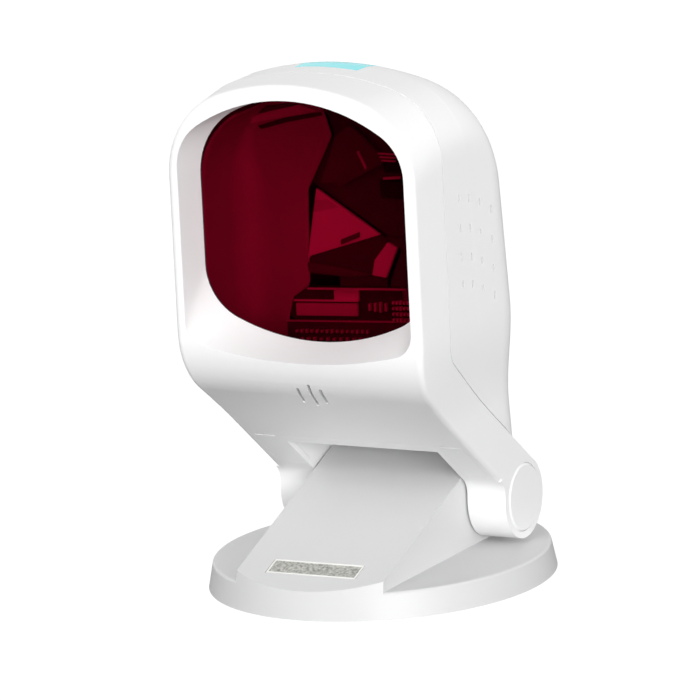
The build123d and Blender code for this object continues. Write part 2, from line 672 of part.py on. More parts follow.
def save_boards():
    """Writes the circuit boards, the parts on them, the beeper and the cable socket."""
    top = BOARD_Z + BOARD_THICK
    board = slab(-31, 33, -28, 3, BOARD_Z, top)
    save("main_board", board)
    chips = [
        slab(-28, -16, -20, -8, top, top + 2.2),
        slab(-10, -2, -26, -19, top, top + 1.6),
        slab(3, 12, -26, -18, top, top + 1.6),
        slab(17, 29, -26, -14, top, top + 2.6),
        slab(-27, -20, -27, -23, top, top + 5.4),
    ]
    chips += [rod_z(15 + 4 * i, -8, 1.8, top, top + 6.0) for i in range(3)]
    save("board_parts", group(chips))
    receiver = slab(-13, 8, -12, -10.8, top, SHELF_Z - 0.6)
    save("receiver_board", receiver)
    save("photodiode", slab(-7, 0, -14.4, -12, SHELF_Z - 7.4, SHELF_Z - 2.4))

    beeper_plane = arm_plane * Plane(origin=(SLOT_S, UNDERSIDE + WALL + 2.2, 0), z_dir=(0, 1, 0))
    save("beeper", beeper_plane * Cylinder(5.0, 3.4))

    half = SOCKET_HALF
    body = slab(-half, half, PLATE_Y - 9.0, SOCKET_FACE_Y, SOCKET_Z, SOCKET_Z + SOCKET_HIGH)
    mouth = slab(-5.9, 5.9, PLATE_Y - 7.0, SOCKET_FACE_Y + 1, SOCKET_Z + 3.4, SOCKET_Z + 11.2)
    latch = slab(-3.0, 3.0, PLATE_Y - 7.0, SOCKET_FACE_Y + 1, SOCKET_Z + 1.4, SOCKET_Z + 4.0)
    save("cable_socket", body - mouth - latch)
    wires = []
    wire_z = SOCKET_Z + 10.8
    for i in range(8):
        x = (i - 3.5) * 1.1
        wires.append(slab(x - 0.2, x + 0.2, PLATE_Y - 7.0, SOCKET_FACE_Y - 3, wire_z, wire_z + 0.4))
    save("socket_contacts", group(wires))


def save_indicator():
    """Writes the crown's indicator window, its little board and its lamps."""
    save("indicator_lens", make_lens())
    save("indicator_board", slab(-9, 9, -16, 2, 143.0, 144.2))
    save("indicator_lamps", group([slab(x - 1.5, x + 1.5, -9, -6, 144.2, 146.0) for x in (-5, 0, 5)]))


def save_window():
    """Writes the red scan window and the seal in front of it."""
    back_y = PANE_Y + GASKET_THICK
    ring = through_depth(rounded_arch(**PANE, grow=PANE_LAP), PANE_Y, back_y)
    hole = through_depth(rounded_arch(**PANE), PANE_Y - 1, back_y + 1)
    save("window_seal", ring - hole)
    save("scan_window", through_depth(rounded_arch(**PANE, grow=PANE_LAP), back_y, back_y + PANE_THICK))


def turned_ring(outer, inner, x0, x1):
    """A ring about the pivot axis and its twin on the other side."""
    ring = rod_x(PIVOT_Y, PIVOT_Z, outer, x0, x1) - rod_x(PIVOT_Y, PIVOT_Z, inner, x0 - 1, x1 + 1)
    return mirrored_pair(ring)


def save_hinge():
    """Writes the friction hinge: shaft, bushes, washers, nuts and the round covers."""
    save("hinge_shaft", rod_x(PIVOT_Y, PIVOT_Z, SHAFT_R, -32.9, 32.9))
    bore = SHAFT_R + RUNNING_FIT
    wall_inside = WEDGE_HALF - WALL
    save("pivot_bushes", group([
        sleeve + collar
        for sleeve, collar in zip(turned_ring(5.0, bore, wall_inside - 1.2, WEDGE_HALF),
                                  turned_ring(6.6, bore, wall_inside - 1.2, wall_inside))
    ]))
    save("friction_washers", group(turned_ring(9.0, SHAFT_R + 0.02, WEDGE_HALF + 0.08, ARM_INNER - 0.02)))
    save("spring_washers", group(turned_ring(6.6, SHAFT_R + 0.02, 28.05, 29.3)))
    nut_face = RegularPolygon(10.0 / math.sqrt(3), 6)
    nut = Plane(origin=(29.35, PIVOT_Y, PIVOT_Z), z_dir=(1, 0, 0)) * extrude(nut_face, amount=3.2)
    nut = nut - rod_x(PIVOT_Y, PIVOT_Z, SHAFT_R + 0.02, 20, 40)
    save("hinge_nuts", group(mirrored_pair(nut)))
    disc = rod_x(PIVOT_Y, PIVOT_Z, CAP_R, 33.6, ARM_OUTER + 0.35)
    disc = chamfer(disc.edges().sort_by(Axis.X)[-1], 0.5)
    cap = disc - rod_x(PIVOT_Y, PIVOT_Z, CAP_R - 1.6, 30, 35.0)
    for name, solid in zip(("right_knuckle_cap", "left_knuckle_cap"), mirrored_pair(cap)):
        save(name, solid)


def save_fasteners():
    """Writes the screws that hold the head together and the blank rating label."""
    shell_screws = []
    for x in (-SCREW_X, SCREW_X):
        seat = SCREW_SEAT_Y + 4
        head = rod_y(x, SCREW_Z, 2.4, seat, seat + 1.8)
        cross = slab(x - 1.5, x + 1.5, seat + 0.9, seat + 3, SCREW_Z - 0.3, SCREW_Z + 0.3)
        upright = slab(x - 0.3, x + 0.3, seat + 0.9, seat + 3, SCREW_Z - 1.5, SCREW_Z + 1.5)
        shell_screws.append(head + rod_y(x, SCREW_Z, 1.2, seat - 16, seat) - cross - upright)
    save("shell_screws", group(shell_screws))
    chassis_screws = []
    for x, z in chassis_screw_places():
        head = rod_y(x, z, 2.2, PLATE_Y - 1.2, PLATE_Y)
        chassis_screws.append(head + rod_y(x, z, 1.05, PLATE_Y, PLATE_Y + 4.2))
    save("chassis_screws", group(chassis_screws))
    save("rating_label", slab(-16, 16, 4, 24, 1.6, 1.8))


def save_stand():
    """Writes the foot and everything fixed to it."""
    save("stand_shell", make_stand())
    save("base_plate", make_base_plate())
    save("ballast_weight", make_ballast())
    save("rubber_feet", make_feet())
    save("base_screws", make_base_screws())
    save("badge_plate", badge_solid(0))


def save_shells():
    """Writes the mouldings of the head."""
    save("front_shell", make_front_shell())
    save("underside_cover", underside_plate(0) - arm_box(-60, 60, chin_s - 5, 60, UNDERSIDE - 9, UNDERSIDE))
    save("rear_shell", make_rear_shell())


save_stand()
save_shells()
save_window()
save_indicator()
save_optics()
save_boards()
save_hinge()
save_fasteners()
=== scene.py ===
"""Looks of the presentation scanner: camera, light, floor, materials and the finely shaped pieces."""

import json
import math

import bmesh
import bpy
from mathutils import Matrix, Vector


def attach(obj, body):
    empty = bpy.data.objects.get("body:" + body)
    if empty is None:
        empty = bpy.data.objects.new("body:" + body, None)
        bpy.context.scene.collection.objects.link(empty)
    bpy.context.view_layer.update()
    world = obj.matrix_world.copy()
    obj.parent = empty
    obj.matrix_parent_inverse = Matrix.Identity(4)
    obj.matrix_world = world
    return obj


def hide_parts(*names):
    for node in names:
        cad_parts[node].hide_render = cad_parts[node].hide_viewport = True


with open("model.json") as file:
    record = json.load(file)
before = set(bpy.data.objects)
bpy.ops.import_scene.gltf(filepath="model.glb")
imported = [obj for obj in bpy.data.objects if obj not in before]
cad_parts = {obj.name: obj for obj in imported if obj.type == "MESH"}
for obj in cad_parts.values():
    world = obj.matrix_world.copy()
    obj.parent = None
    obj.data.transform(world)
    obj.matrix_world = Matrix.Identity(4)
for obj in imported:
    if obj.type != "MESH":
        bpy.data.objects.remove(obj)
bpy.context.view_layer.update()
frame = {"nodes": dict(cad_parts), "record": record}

MM = 0.001

# Camera: turned to the right of the front, slightly above and a little rolled, far away with a long lens.
# The distance and the clipping are in metres, the lens and its sensor in mm.
AZIMUTH = math.radians(27.893)
ELEVATION = math.radians(12.853)
ROLL = math.radians(2.896)
DISTANCE = 3.0
CLIP_END = 20.0
LENS = 535.2
SENSOR = 36.0
TARGET_ASIDE = -6.42 * MM
TARGET_HEIGHT = 67.6 * MM

# Surroundings: even light from the horizon up to the middle step, then falling to almost none overhead.
HORIZON_LIGHT = 1.13
MIDDLE_LIGHT = 1.13
MIDDLE_STEP = 0.38
ZENITH_LIGHT = 0.03

# Two broad lamps of one size, in metres and watts: one at the front right, and a weaker one higher up at the
# front left. Both look at a point on the object's upright axis.
LAMP_WIDTH = 1.6
LAMP_HIGH = 0.7
LAMP_AIM = (0, 0, 0.08)
FRONT_PLACE = (1.61, -1.61, 0.4)
FRONT_WATTS = 33.0
FILL_PLACE = (-0.64, -1.77, 1.4)
FILL_WATTS = 15.0

# Floor: half its width in metres, the grey that it reflects, and the glow that the camera sees.
FLOOR_HALF = 6.0
FLOOR_GREY = 0.14
FLOOR_GLOW = 1.05

# What every surface shares: how far its gloss wanders, the smoothest that it gets, where its two tones
# lie on the broad pattern, the details of its patterns, and the depth of its grain.
GLOSS_SPREAD = 0.15
SMOOTHEST = 0.02
TONE_STEPS = (0.3, 0.7)
BROAD_DETAIL = 3.0
FINE_DETAIL = 2.0
GRAIN_DEPTH = 0.05 * MM

# The red window: an index close to that of air, so that it shines only faintly, the grey of that shine, and
# how its tint wanders. Light isn't bent by it.
PANE_IOR = 1.06
PANE_SHINE = 0.5
PANE_CLOUD = 20.0
PANE_VARIATION = 0.03

# The scan engine, in mm and degrees. Its faces lie about an upright plane behind the window, and depths are
# counted back from that plane. It sits turned a little in the head, and what is on or under the motor shelf
# is placed by how far down from the shelf's top edge it lies. SHELF_Z is that edge's height at X = 0.
ENGINE_PLANE = -5.0
ENGINE_TURN = 2.7
ENGINE_RIGHT = 16.0
SHELF_Z = 87.25
BOARD_DOWN = 10.1
BOARD_LEFT = -24.5

# Corners that the folding mirrors, the wedge and the tower share, as X and Z in mm.
FOLD_TOP = (-12.5, 115.5)
FOLD_TIP = (7.5, 103.0)
FOLD_FOOT = (-15.5, 95.5)
WEDGE_NOTCH = (5.5, 95.5)
WEDGE_TOE = (4.5, 91.0)
SMALL_TOP = (10, 101)
LOWER_TOP = (13.0, 99.5)
LOWER_FOOT = (9.0, 90.5)

# The tower stops just above the mirror motor, whose top is at 101 mm, so that the wheel turns clear of it.
# The guard stands in front of the wheel, down to the shelf.
MOTOR_TOP = 101.8
GUARD_RIGHT = 21.0
GUARD_FOOT = 88.5

# How far most of the engine's edges are bevelled, and the edges of its thin strips, in mm.
SOFT_EDGE = 0.15
THIN_EDGE = 0.05

# The rows of small parts, in mm: how thick the parts are, how far their middles stand in front of the
# engine plane, the bevel along their edges, and the share of their height that varies. Going along a row,
# the height moves on by a stride of steps, and starts again after the last step.
PART_THICK = 1.2
PART_LIFT = 1.0
PART_EDGE = 0.08
PART_UNEVEN = 0.3
PART_STRIDE = 7
PART_STEPS = 5

# The inside of the arched head on the left, in mm: a straight wall, then a round corner.
ARCH_WALL = -37.2
ARCH_CORNER_Z = 121.0
ARCH_CORNER = 23.0

# The collecting mirror, in mm: its front edge, its foot and top, its thickness, its right edge as
# (height, X), and the radius of the bend between its side and its back as (height, radius). The steps are
# how finely it is divided up its height, along its side, round its bend and across its back.
COLLECTOR_FRONT = -29.4
COLLECTOR_LOW = 70.0
COLLECTOR_HIGH = 141.0
COLLECTOR_THICK = 0.5
COLLECTOR_RIGHT = (
    (70, -21), (76, -24), (83, -22), (86.5, -16.5), (115, -15.5), (131, -7), (138, -9), (141, -12),
)
COLLECTOR_BENDS = ((70, 9), (116, 9), (132, 3), (141, 3))
COLLECTOR_ROWS = 44
SIDE_STEPS = 6
BEND_STEPS = 12
BACK_STEPS = 8

# The blank plate on the foot's sloping face, in degrees and mm: the slope and the middle of the plate. Then
# the rim round it: its outer size, its width, how far it stands up, how deep it sits, and its bevel.
WEDGE_SLOPE = 19.65
BADGE_CENTRE = (0.0, -41.8, 12.42)
RIM_LENGTH = 28.6
RIM_HIGH = 6.8
RIM_WIDTH = 0.45
RIM_LIFT = 0.12
RIM_SUNK = 0.3
RIM_EDGE = 0.08


def add_camera():
    """The camera, aimed at a point a little beside the object's axis."""
    across = Vector((math.cos(AZIMUTH), math.sin(AZIMUTH), 0))
    back = Vector((
        math.sin(AZIMUTH) * math.cos(ELEVATION),
        -math.cos(AZIMUTH) * math.cos(ELEVATION),
        math.sin(ELEVATION),
    ))
    up = back.cross(across)
    right = across * math.cos(ROLL) - up * math.sin(ROLL)
    upright = across * math.sin(ROLL) + up * math.cos(ROLL)
    place = across * TARGET_ASIDE + Vector((0, 0, TARGET_HEIGHT)) + back * DISTANCE
    data = bpy.data.cameras.new("camera")
    data.lens = LENS
    data.sensor_width = SENSOR
    data.clip_end = CLIP_END
    camera = bpy.data.objects.new("camera", data)
    turn = Matrix((right, upright, back)).transposed().to_4x4()
    camera.matrix_world = Matrix.Translation(place) @ turn
    bpy.context.scene.collection.objects.link(camera)
    bpy.context.scene.camera = camera


def add_lamp(name, place, watts):
    """A rectangular soft light at a place, looking at the object."""
    data = bpy.data.lights.new(name, "AREA")
    data.shape = "RECTANGLE"
    data.size = LAMP_WIDTH
    data.size_y = LAMP_HIGH
    data.energy = watts
    lamp = bpy.data.objects.new(name, data)
    direction = Vector(LAMP_AIM) - Vector(place)
    lamp.rotation_euler = direction.to_track_quat("-Z", "Y").to_euler()
    lamp.location = place
    bpy.context.scene.collection.objects.link(lamp)


def add_light():
    """A studio tent: bright around the horizon, dark overhead, with two broad lamps in front."""
    world = bpy.data.worlds.new("studio")
    world.use_nodes = True
    tree = world.node_tree
    background = tree.nodes["Background"]
    direction = tree.nodes.new("ShaderNodeTexCoord")
    split = tree.nodes.new("ShaderNodeSeparateXYZ")
    tree.links.new(direction.outputs["Generated"], split.inputs["Vector"])
    ramp = tree.nodes.new("ShaderNodeValToRGB")
    steps = ramp.color_ramp.elements
    steps[0].position = 0.0
    steps[0].color = (HORIZON_LIGHT, HORIZON_LIGHT, HORIZON_LIGHT, 1)
    steps[1].position = 1.0
    steps[1].color = (ZENITH_LIGHT, ZENITH_LIGHT, ZENITH_LIGHT, 1)
    middle = steps.new(MIDDLE_STEP)
    middle.color = (MIDDLE_LIGHT, MIDDLE_LIGHT, MIDDLE_LIGHT, 1)
    tree.links.new(split.outputs["Z"], ramp.inputs["Fac"])
    tree.links.new(ramp.outputs["Color"], background.inputs["Color"])
    bpy.context.scene.world = world
    add_lamp("front_light", FRONT_PLACE, FRONT_WATTS)
    add_lamp("fill_light", FILL_PLACE, FILL_WATTS)


def add_floor():
    """A plain floor: it glows pure white to the camera, and reflects as a soft grey for everything else."""
    mesh = bpy.data.meshes.new("floor")
    corners = [(x * FLOOR_HALF, y * FLOOR_HALF, 0) for x, y in ((-1, -1), (1, -1), (1, 1), (-1, 1))]
    mesh.from_pydata(corners, [], [(0, 1, 2, 3)])
    floor = bpy.data.objects.new("floor", mesh)
    bpy.context.scene.collection.objects.link(floor)
    material = surface("floor_white", (FLOOR_GREY,) * 3, roughness=0.9, variation=0.01, grain=0.0)
    tree = material.node_tree
    shader = tree.nodes["Principled BSDF"]
    glow = tree.nodes.new("ShaderNodeEmission")
    glow.inputs["Strength"].default_value = FLOOR_GLOW
    path = tree.nodes.new("ShaderNodeLightPath")
    mix = tree.nodes.new("ShaderNodeMixShader")
    tree.links.new(path.outputs["Is Camera Ray"], mix.inputs["Fac"])
    tree.links.new(shader.outputs["BSDF"], mix.inputs[1])
    tree.links.new(glow.outputs["Emission"], mix.inputs[2])
    tree.links.new(mix.outputs["Shader"], tree.nodes["Material Output"].inputs["Surface"])
    mesh.materials.append(material)


def noise(tree, scale, detail):
    """A noise pattern that keeps its place on the object."""
    place = tree.nodes.new("ShaderNodeTexCoord")
    pattern = tree.nodes.new("ShaderNodeTexNoise")
    pattern.inputs["Scale"].default_value = scale
    pattern.inputs["Detail"].default_value = detail
    tree.links.new(place.outputs["Object"], pattern.inputs["Vector"])
    return pattern


def two_tones(tree, pattern, colour, variation, places):
    """A colour that wanders from a darker to a lighter tone between two places on the pattern."""
    ramp = tree.nodes.new("ShaderNodeValToRGB")
    darker, lighter = ramp.color_ramp.elements
    darker.position, lighter.position = places
    darker.color = (*[max(0.0, channel * (1 - variation)) for channel in colour], 1)
    lighter.color = (*[min(1.0, channel * (1 + variation)) for channel in colour], 1)
    tree.links.new(pattern.outputs["Fac"], ramp.inputs["Fac"])
    return ramp


def surface(name, colour, roughness=0.4, metallic=0.0, variation=0.03, grain=0.1, grain_size=0.6,
            cloud=35.0):
    """A moulded or machined surface: base colour with soft variation, uneven gloss and a fine grain.

    The grain size is in mm; cloud is how dense the broad pattern is.
    """
    material = bpy.data.materials.new(name)
    material.use_nodes = True
    tree = material.node_tree
    shader = tree.nodes["Principled BSDF"]
    shader.inputs["Metallic"].default_value = metallic

    broad = noise(tree, cloud, BROAD_DETAIL)
    tones = two_tones(tree, broad, colour, variation, TONE_STEPS)
    tree.links.new(tones.outputs["Color"], shader.inputs["Base Color"])

    gloss = tree.nodes.new("ShaderNodeMapRange")
    gloss.inputs["To Min"].default_value = max(SMOOTHEST, roughness * (1 - GLOSS_SPREAD))
    gloss.inputs["To Max"].default_value = min(1.0, roughness * (1 + GLOSS_SPREAD))
    tree.links.new(broad.outputs["Fac"], gloss.inputs["Value"])
    tree.links.new(gloss.outputs["Result"], shader.inputs["Roughness"])

    fine = noise(tree, 1 / (grain_size * MM), FINE_DETAIL)
    bump = tree.nodes.new("ShaderNodeBump")
    bump.inputs["Strength"].default_value = grain
    bump.inputs["Distance"].default_value = GRAIN_DEPTH
    tree.links.new(fine.outputs["Fac"], bump.inputs["Height"])
    tree.links.new(bump.outputs["Normal"], shader.inputs["Normal"])
    return material


def tinted_pane(name, tint, roughness):
    """A clear coloured sheet: light passes straight through it, tinted, under a faint polish."""
    material = bpy.data.materials.new(name)
    material.use_nodes = True
    tree = material.node_tree
    tree.nodes.remove(tree.nodes["Principled BSDF"])
    clear = tree.nodes.new("ShaderNodeBsdfTransparent")
    tones = two_tones(tree, noise(tree, PANE_CLOUD, FINE_DETAIL), tint, PANE_VARIATION, (0.0, 1.0))
    tree.links.new(tones.outputs["Color"], clear.inputs["Color"])
    shine = tree.nodes.new("ShaderNodeBsdfGlossy")
    shine.inputs["Roughness"].default_value = roughness
    shine.inputs["Color"].default_value = (PANE_SHINE, PANE_SHINE, PANE_SHINE, 1)
    edge = tree.nodes.new("ShaderNodeFresnel")
    edge.inputs["IOR"].default_value = PANE_IOR
    mix = tree.nodes.new("ShaderNodeMixShader")
    tree.links.new(edge.outputs["Fac"], mix.inputs["Fac"])
    tree.links.new(clear.outputs["BSDF"], mix.inputs[1])
    tree.links.new(shine.outputs["BSDF"], mix.inputs[2])
    tree.links.new(mix.outputs["Shader"], tree.nodes["Material Output"].inputs["Surface"])
    return material


def make_materials():
    """One material for each of the record's slots."""
    return {
        "white_shell": surface("white_shell", (0.9, 0.9, 0.9), roughness=0.36, variation=0.008, grain=0.06),
        "badge": surface("badge", (0.4, 0.4, 0.37), roughness=0.5, variation=0.5, grain=0.9, grain_size=0.5,
                         cloud=1100.0),
        "steel": surface("steel", (0.6, 0.6, 0.61), roughness=0.3, metallic=1.0),
        "ballast_iron": surface("ballast_iron", (0.12, 0.12, 0.12), roughness=0.7, grain=0.6),
        "rubber_foot": surface("rubber_foot", (0.03, 0.03, 0.03), roughness=0.8, grain=0.4),
        "bush_plastic": surface("bush_plastic", (0.7, 0.69, 0.65), roughness=0.45),
        "label": surface("label", (0.8, 0.8, 0.79), roughness=0.5),
        "red_pane": tinted_pane("red_pane", (0.76, 0.2, 0.38), roughness=0.03),
        "cyan_lens": surface("cyan_lens", (0.14, 0.86, 0.92), roughness=0.25, variation=0.05, grain=0.05),
        "circuit_board": surface("circuit_board", (0.05, 0.25, 0.12), roughness=0.4),
        "black_plastic": surface("black_plastic", (0.03, 0.03, 0.03), roughness=0.5),
        "mirror_glass": surface("mirror_glass", (0.8, 0.8, 0.8), roughness=0.08, metallic=1.0, grain=0.0),
        "polygon_metal": surface("polygon_metal", (0.85, 0.85, 0.85), roughness=0.06, metallic=1.0,
                                 grain=0.0),
        "motor_metal": surface("motor_metal", (0.6, 0.6, 0.62), roughness=0.35, metallic=1.0),
        "brass": surface("brass", (0.75, 0.55, 0.25), roughness=0.3, metallic=1.0),
        "lamp": surface("lamp", (0.6, 0.95, 0.95), roughness=0.2),
    }


def dress_frame():
    """Gives every CAD node the material of its slot, and then the foot a slightly greyer white."""
    materials = make_materials()
    for part in frame["record"]["subparts"]:
        node = frame["nodes"][part["node"]]
        node.data.materials.clear()
        node.data.materials.append(materials[part["material_slot"]])
    foot_white = surface("foot_white", (0.66, 0.66, 0.665), roughness=0.42, variation=0.008, grain=0.06)
    frame["nodes"]["stand_shell"].data.materials[0] = foot_white


def engine_looks():
    """The scan engine's greys, from its lit faces down to its gaps. They are matte greys painted to the
    brightness that each face shows through the window: the mirrors' greys are painted reflections, and the
    near-black of the gaps is painted shade.
    """
    return {
        # Painted reflections: the mirrors are matte greys set to how bright each one shows. The soft grey is
        # for the collecting mirror, the lit grey for the folding and small mirrors, and the pale grey for
        # the strip mirror.
        "sheet": surface("mirror_soft_painted_reflection", (0.36, 0.36, 0.36), roughness=0.5, variation=0.05, grain=0.0),
        "bright": surface("mirror_lit_painted_reflection", (0.72, 0.72, 0.72), roughness=0.5, variation=0.04, grain=0.0),
        "pale": surface("mirror_pale_painted_light", (0.55, 0.55, 0.55), roughness=0.5, variation=0.04, grain=0.0),
        "mid": surface("frame_mid", (0.085, 0.085, 0.085), roughness=0.4, variation=0.2, grain=0.2),
        "dark": surface("frame_dark", (0.045, 0.045, 0.045), roughness=0.45, variation=0.2, grain=0.3),
        # Painted shade: near-black for the plates in the tower's gaps.
        "painted_shade": surface("frame_painted_shade", (0.008, 0.008, 0.008), roughness=0.9, variation=0.3, grain=0.2),
    }


def mesh_from(shape, name):
    """The finished mesh of a shape that was being built."""
    mesh = bpy.data.meshes.new(name)
    shape.to_mesh(mesh)
    shape.free()
    return mesh


def add_piece(name, mesh, material, nodes=()):
    """Puts a finished mesh in the scene on the head, in place of the named frame nodes."""
    piece = bpy.data.objects.new(name, mesh)
    bpy.context.scene.collection.objects.link(piece)
    mesh.materials.append(material)
    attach(piece, "head")
    if nodes:
        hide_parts(*nodes)
    return piece


def plate(name, corners, material, *, depth, thick, nodes=(), soften=SOFT_EDGE):
    """A flat piece from its outline in X and Z, in mm.

    It starts this depth behind the engine plane and is this thick; soften is the bevel along its edges.
    """
    shape = bmesh.new()
    front_y = (ENGINE_PLANE + depth) * MM
    back_y = front_y + thick * MM
    front = [shape.verts.new((x * MM, front_y, z * MM)) for x, z in corners]
    back = [shape.verts.new((x * MM, back_y, z * MM)) for x, z in corners]
    shape.faces.new(front)
    shape.faces.new(back[::-1])
    for here in range(len(corners)):
        after = (here + 1) % len(corners)
        shape.faces.new((front[after], front[here], back[here], back[after]))
    bmesh.ops.recalc_face_normals(shape, faces=shape.faces)
    edges = shape.edges[:]
    bmesh.ops.bevel(shape, geom=edges, offset=soften * MM, segments=2, affect="EDGES", clamp_overlap=True)
    add_piece(name, mesh_from(shape, name), material, nodes)


def level(x, down):
    """The point at X that lies this far under the shelf's top edge, in the turned engine."""
    return (x, SHELF_Z + x * math.tan(math.radians(ENGINE_TURN)) - down)


def bar(name, sides, drops, material, *, depth, thick, nodes=(), soften=SOFT_EDGE):
    """A straight piece of the engine between two X places and two distances under the shelf."""
    left, right = sides
    top, bottom = drops
    corners = (level(left, top), level(right, top), level(right, bottom), level(left, bottom))
    plate(name, corners, material, depth=depth, thick=thick, nodes=nodes, soften=soften)


def row_of_parts(name, sides, material, *, down, count, width, high):
    """A row of small bevelled parts of uneven heights."""
    first, last = sides
    shape = bmesh.new()
    for index in range(count):
        x, z = level(first + (last - first) * index / (count - 1), down)
        step = (index * PART_STRIDE) % PART_STEPS
        tall = high * (1 - PART_UNEVEN + PART_UNEVEN * step / (PART_STEPS - 1))
        cube = bmesh.ops.create_cube(shape, size=1.0)
        bmesh.ops.scale(shape, vec=(width * MM, PART_THICK * MM, tall * MM), verts=cube["verts"])
        place = (x * MM, (ENGINE_PLANE - PART_LIFT) * MM, z * MM)
        bmesh.ops.translate(shape, vec=place, verts=cube["verts"])
    bmesh.ops.bevel(shape, geom=shape.edges[:], offset=PART_EDGE * MM, segments=1, affect="EDGES")
    add_piece(name, mesh_from(shape, name), material)


def run_along(steps, place):
    """The value at a place along a list of (place, value) steps, straight between them."""
    for (before, first), (after, second) in zip(steps, steps[1:]):
        if place <= after:
            return first + (second - first) * (place - before) / (after - before)
    return steps[-1][1]


def arch_left(z):
    """Where the inside of the arched head lies on the left at a height."""
    rise = max(0.0, z - ARCH_CORNER_Z)
    return ARCH_WALL + ARCH_CORNER - math.sqrt(ARCH_CORNER ** 2 - rise ** 2)


def collector_profile(left, right, bend):
    """One level of the collecting mirror: back along the left wall, round a soft bend, then across."""
    bend_start = ENGINE_PLANE - bend
    run = bend_start - COLLECTOR_FRONT
    points = [(left, COLLECTOR_FRONT + run * step / SIDE_STEPS) for step in range(SIDE_STEPS)]
    for step in range(BEND_STEPS + 1):
        turn = math.radians(90.0 * step / BEND_STEPS)
        points.append((left + bend * (1 - math.cos(turn)), bend_start + bend * math.sin(turn)))
    back_start = left + bend
    for step in range(1, BACK_STEPS + 1):
        points.append((back_start + (right - back_start) * step / BACK_STEPS, ENGINE_PLANE))
    return points


def add_collector(material):
    """The big collecting mirror: a hollow sheet that lines the left side of the head."""
    shape = bmesh.new()
    rows = []
    for row in range(COLLECTOR_ROWS + 1):
        z = COLLECTOR_LOW + (COLLECTOR_HIGH - COLLECTOR_LOW) * row / COLLECTOR_ROWS
        right = run_along(COLLECTOR_RIGHT, z)
        bend = run_along(COLLECTOR_BENDS, z)
        profile = collector_profile(arch_left(z), right, bend)
        rows.append([shape.verts.new((x * MM, y * MM, z * MM)) for x, y in profile])
    for lower, upper in zip(rows, rows[1:]):
        for here in range(len(lower) - 1):
            shape.faces.new((lower[here], lower[here + 1], upper[here + 1], upper[here]))
    bmesh.ops.recalc_face_normals(shape, faces=shape.faces)
    for face in shape.faces:
        face.smooth = True
    mesh = mesh_from(shape, "collecting_mirror_sheet")
    sheet = add_piece("collecting_mirror_sheet", mesh, material, ("collecting_mirror",))
    skin = sheet.modifiers.new("thickness", "SOLIDIFY")
    skin.thickness = COLLECTOR_THICK * MM
    skin.offset = 0.0


def add_engine_back(looks):
    """Two dark plates that close the engine off behind, the upper one nearer the front."""
    lower = ((-33, 69.5), (-33, 106), (33, 106), (33, 69.5))
    plate("engine_back_lower", lower, looks["dark"], depth=16.4, thick=1.0, soften=0.3)
    upper = ((-34, 104), (-34, 124), (-22, 135), (22, 135), (34, 124), (34, 104))
    plate("engine_back_upper", upper, looks["dark"], depth=9.0, thick=1.2, soften=0.4)


def add_window_band(looks):
    """The narrow mirror along the top of the window, with its shade and bracket."""
    shade = ((-35.5, 136), (-28, 139), (-20.5, 140), (-16.5, 140), (-28.5, 137))
    plate("strip_shade", shade, looks["mid"], depth=-1.3, thick=1.0)
    mirror = ((-35, 133), (-35, 134), (-28.5, 137), (-16.5, 140), (-10.5, 138.5), (-16.5, 137), (-27, 135))
    plate("strip_mirror", mirror, looks["pale"], depth=-1.6, thick=1.2,
          nodes=("pattern_mirror_upper_left",))
    bracket = ((-30.5, 133), (-21, 136), (-10, 138), (-9.5, 137), (-21, 134.5), (-29.5, 132))
    plate("strip_bracket", bracket, looks["dark"], depth=-0.9, thick=0.8)


def add_folding_mirrors(looks):
    """The big folding mirror with a painted shadow across it, the wedge that holds it and the small mirror
    beside it.
    """
    mirror = (FOLD_TOP, FOLD_TIP, FOLD_FOOT, (-16.5, 94))
    plate("fold_mirror", mirror, looks["bright"], depth=-1.0, thick=1.2,
          nodes=("pattern_mirror_centre",))
    # A greyer band across the folding mirror: a painted shadow.
    shadow_band = ((-13, 112), (-9, 112.5), (-5.5, 110.5), (-13.5, 108.5))
    plate("fold_mirror_painted_shadow", shadow_band, looks["pale"], depth=-1.25, thick=0.3, soften=THIN_EDGE)
    clip = ((-5, 101), (1, 103.5), (1, 102), (-5, 99.5))
    plate("fold_mirror_clip", clip, looks["mid"], depth=-1.7, thick=0.8, soften=0.1)
    wedge = (FOLD_FOOT, FOLD_TIP, SMALL_TOP, WEDGE_NOTCH, WEDGE_TOE, (-16.5, 91.5))
    plate("engine_wedge", wedge, looks["dark"], depth=-0.6, thick=4.0, soften=0.3)
    foot = ((-16.5, 93.5), (-8, 93), WEDGE_TOE, (-4, 90), (-16, 90.5))
    plate("engine_wedge_foot", foot, looks["mid"], depth=-1.2, thick=2.0, soften=0.2)
    small = (SMALL_TOP, LOWER_TOP, LOWER_FOOT, WEDGE_TOE, WEDGE_NOTCH)
    plate("small_mirror", small, looks["bright"], depth=-1.4, thick=1.2,
          nodes=("pattern_mirror_lower",))


